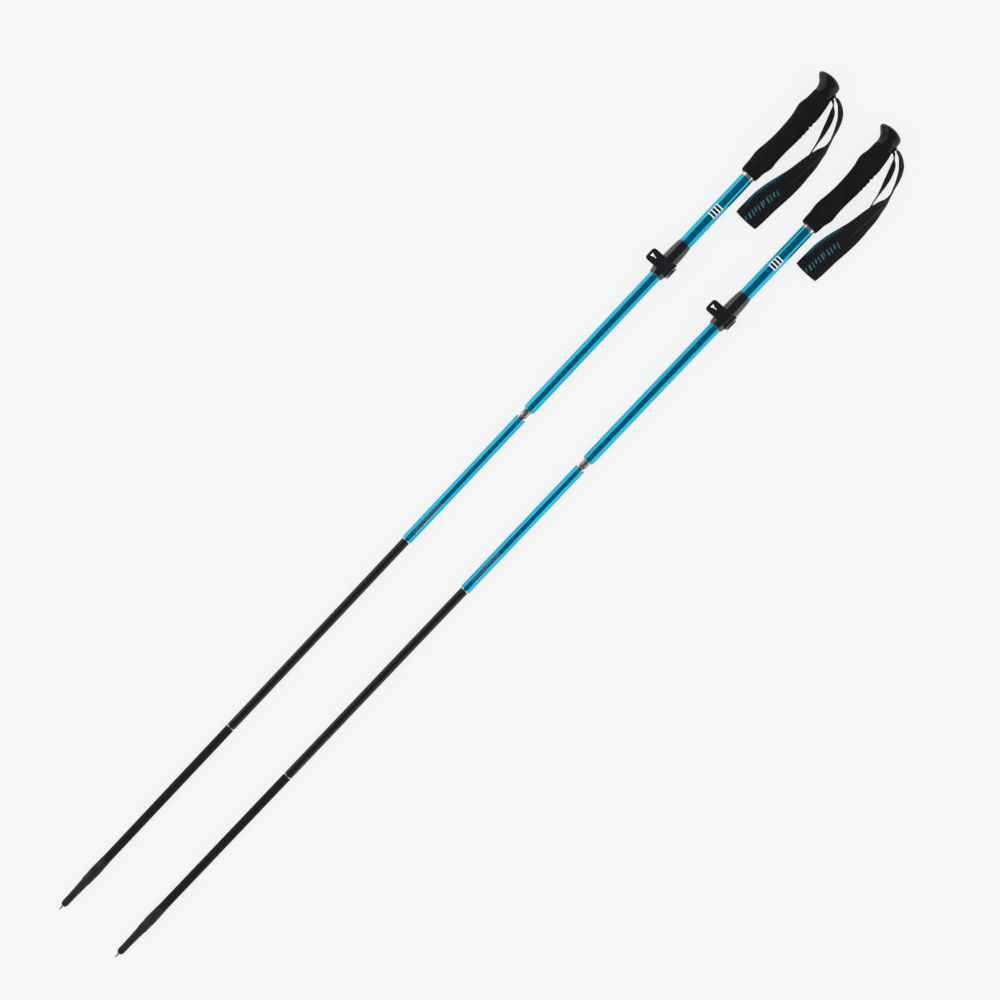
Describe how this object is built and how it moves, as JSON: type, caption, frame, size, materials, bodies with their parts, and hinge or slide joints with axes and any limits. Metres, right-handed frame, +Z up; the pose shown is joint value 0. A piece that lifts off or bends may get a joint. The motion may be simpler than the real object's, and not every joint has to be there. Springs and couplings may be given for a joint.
{
  "type": "pair of folding trekking poles",
  "caption": "Pair of folding trekking poles with foam grips, wrist straps, lever-locked length adjustment, sprung tension ferrules and carbide tips, laid side by side.",
  "frame": {"origin": "middle of the pair's footprint, on the surface they lie on", "axes": "+X from the tips to the grips, +Y towards the lock levers' side, across the pair, +Z up"},
  "size_m": [1.3546, 0.1718, 0.0277],
  "materials": {
    "grip_foam": "matte closed-cell foam",
    "moulded_black": "satin moulded",
    "lock_black": "polished moulded",
    "grey_plastic": "satin moulded",
    "cyan_tube": "bright cyan anodised",
    "black_tube": "satin black anodised",
    "bright_aluminium": "machined",
    "steel": "polished stainless",
    "carbide": "ground",
    "strap_fabric": "woven polyester over foam",
    "cord": "coated cord",
    "tip_rubber": "moulded, slightly worn"
  },
  "bodies": {
    "left_handle": {"left_grip_foam": "grip_foam", "left_grip_head": "moulded_black", "left_grip_collar": "bright_aluminium", "left_upper_tube": "cyan_tube", "left_lock_housing": "lock_black", "left_lever_pin": "steel", "left_dial_washer": "grey_plastic"},
    "left_lock_lever": {"left_lock_lever": "lock_black"},
    "left_tension_dial": {"left_tension_dial": "lock_black"},
    "left_strap": {"left_strap_swivel": "moulded_black", "left_wrist_strap": "strap_fabric"},
    "left_extension": {"left_extension_tube": "cyan_tube", "left_extension_bushes": "grey_plastic"},
    "left_tension_ferrule": {"left_ferrule": "steel", "left_ferrule_guide": "grey_plastic", "left_button_spring": "steel", "left_tension_cord_1": "cord"},
    "left_snap_button": {"left_snap_button": "steel"},
    "left_section_3": {"left_fold_tube_1": "cyan_tube", "left_socket_1": "grey_plastic", "left_nose_2": "bright_aluminium", "left_tension_cord_2": "cord"},
    "left_section_4": {"left_fold_tube_2": "black_tube", "left_socket_2": "grey_plastic", "left_nose_3": "bright_aluminium", "left_tension_cord_3": "cord"},
    "left_section_5": {"left_fold_tube_3": "black_tube", "left_socket_3": "grey_plastic", "left_tip_cone": "tip_rubber", "left_carbide_tip": "carbide"},
    "right_handle": {"right_grip_foam": "grip_foam", "right_grip_head": "moulded_black", "right_grip_collar": "bright_aluminium", "right_upper_tube": "cyan_tube", "right_lock_housing": "lock_black", "right_lever_pin": "steel", "right_dial_washer": "grey_plastic"},
    "right_lock_lever": {"right_lock_lever": "lock_black"},
    "right_tension_dial": {"right_tension_dial": "lock_black"},
    "right_strap": {"right_strap_swivel": "moulded_black", "right_wrist_strap": "strap_fabric"},
    "right_extension": {"right_extension_tube": "cyan_tube", "right_extension_bushes": "grey_plastic"},
    "right_tension_ferrule": {"right_ferrule": "steel", "right_ferrule_guide": "grey_plastic", "right_button_spring": "steel", "right_tension_cord_1": "cord"},
    "right_snap_button": {"right_snap_button": "steel"},
    "right_section_3": {"right_fold_tube_1": "cyan_tube", "right_socket_1": "grey_plastic", "right_nose_2": "bright_aluminium", "right_tension_cord_2": "cord"},
    "right_section_4": {"right_fold_tube_2": "black_tube", "right_socket_2": "grey_plastic", "right_nose_3": "bright_aluminium", "right_tension_cord_3": "cord"},
    "right_section_5": {"right_fold_tube_3": "black_tube", "right_socket_3": "grey_plastic", "right_tip_cone": "tip_rubber", "right_carbide_tip": "carbide"}
  },
  "joints": [
    {"name": "left_length_slide", "type": "slide", "parent": "left_handle", "child": "left_extension", "axis": [1, 0.0031, 0.0064], "range_m": [0, 0.15]},
    {"name": "left_lever_flip", "type": "hinge", "parent": "left_handle", "child": "left_lock_lever", "pos_m": [0.373, 0.05305, 0.0196], "axis": [1, 0.0031, 0.0064], "range_deg": [0, 105]},
    {"name": "left_dial_turn", "type": "hinge", "parent": "left_handle", "child": "left_tension_dial", "pos_m": [0.37327, 0.05065, 0.0092], "axis": [0.0031, -1, 0], "continuous": true},
    {"name": "left_strap_lift", "type": "hinge", "parent": "left_handle", "child": "left_strap", "pos_m": [0.65622, 0.05971, 0.0142], "axis": [-0.0031, 1, 0], "range_deg": [0, 100]},
    {"name": "left_tension_release", "type": "slide", "parent": "left_extension", "child": "left_tension_ferrule", "axis": [1, 0.0031, 0.0064], "range_m": [0, 0.0115], "deforming": ["left_button_spring", "left_snap_button"]},
    {"name": "left_button_press", "type": "slide", "parent": "left_tension_ferrule", "child": "left_snap_button", "axis": [0.0064, 0, -1], "range_m": [0, 0.0027], "stiffness_N_per_m": 250},
    {"name": "left_fold_1", "type": "hinge", "parent": "left_tension_ferrule", "child": "left_section_3", "pos_m": [0.1261, 0.06109, 0.02333], "axis": [-0.0031, 1, 0], "range_deg": [0, 179.5]},
    {"name": "left_fold_2", "type": "hinge", "parent": "left_section_3", "child": "left_section_4", "pos_m": [-0.0743, 0.07505, 0.01486], "axis": [0.0049, 0.342, -0.9397], "range_deg": [0, 179.5]},
    {"name": "left_fold_3", "type": "hinge", "parent": "left_section_4", "child": "left_section_5", "pos_m": [-0.37976, 0.05955, 0.01562], "axis": [-0.0031, 1, 0], "range_deg": [0, 179.5]},
    {"name": "right_length_slide", "type": "slide", "parent": "right_handle", "child": "right_extension", "axis": [1, -0.0031, 0.0064], "range_m": [0, 0.15]},
    {"name": "right_lever_flip", "type": "hinge", "parent": "right_handle", "child": "right_lock_lever", "pos_m": [0.37745, -0.04075, 0.0196], "axis": [1, -0.0031, 0.0064], "range_deg": [0, 105]},
    {"name": "right_dial_turn", "type": "hinge", "parent": "right_handle", "child": "right_tension_dial", "pos_m": [0.37771, -0.04315, 0.0092], "axis": [-0.0031, -1, 0], "continuous": true},
    {"name": "right_strap_lift", "type": "hinge", "parent": "right_handle", "child": "right_strap", "pos_m": [0.6607, -0.03581, 0.0142], "axis": [0.0031, 1, 0], "range_deg": [0, 100]},
    {"name": "right_tension_release", "type": "slide", "parent": "right_extension", "child": "right_tension_ferrule", "axis": [1, -0.0031, 0.0064], "range_m": [0, 0.0115], "deforming": ["right_button_spring", "right_snap_button"]},
    {"name": "right_button_press", "type": "slide", "parent": "right_tension_ferrule", "child": "right_snap_button", "axis": [0.0064, 0, -1], "range_m": [0, 0.0027], "stiffness_N_per_m": 250},
    {"name": "right_fold_1", "type": "hinge", "parent": "right_tension_ferrule", "child": "right_section_3", "pos_m": [0.1306, -0.03119, 0.02333], "axis": [0.0031, 1, 0], "range_deg": [0, 179.5]},
    {"name": "right_fold_2", "type": "hinge", "parent": "right_section_3", "child": "right_section_4", "pos_m": [-0.06971, -0.01601, 0.01486], "axis": [0.007, 0.342, -0.9397], "range_deg": [0, 179.5]},
    {"name": "right_fold_3", "type": "hinge", "parent": "right_section_4", "child": "right_section_5", "pos_m": [-0.37526, -0.02965, 0.01562], "axis": [0.0031, 1, 0], "range_deg": [0, 179.5]},
    {"name": "pole_spacing", "type": "slide", "parent": "left_handle", "child": "right_handle", "axis": [0, -1, 0], "range_m": [0, 0.25]}
  ],
  "couplings": [
    {"joint": "left_button_press", "follows": "left_tension_release", "ratio": 0.23478},
    {"joint": "right_button_press", "follows": "right_tension_release", "ratio": 0.23478}
  ]
}
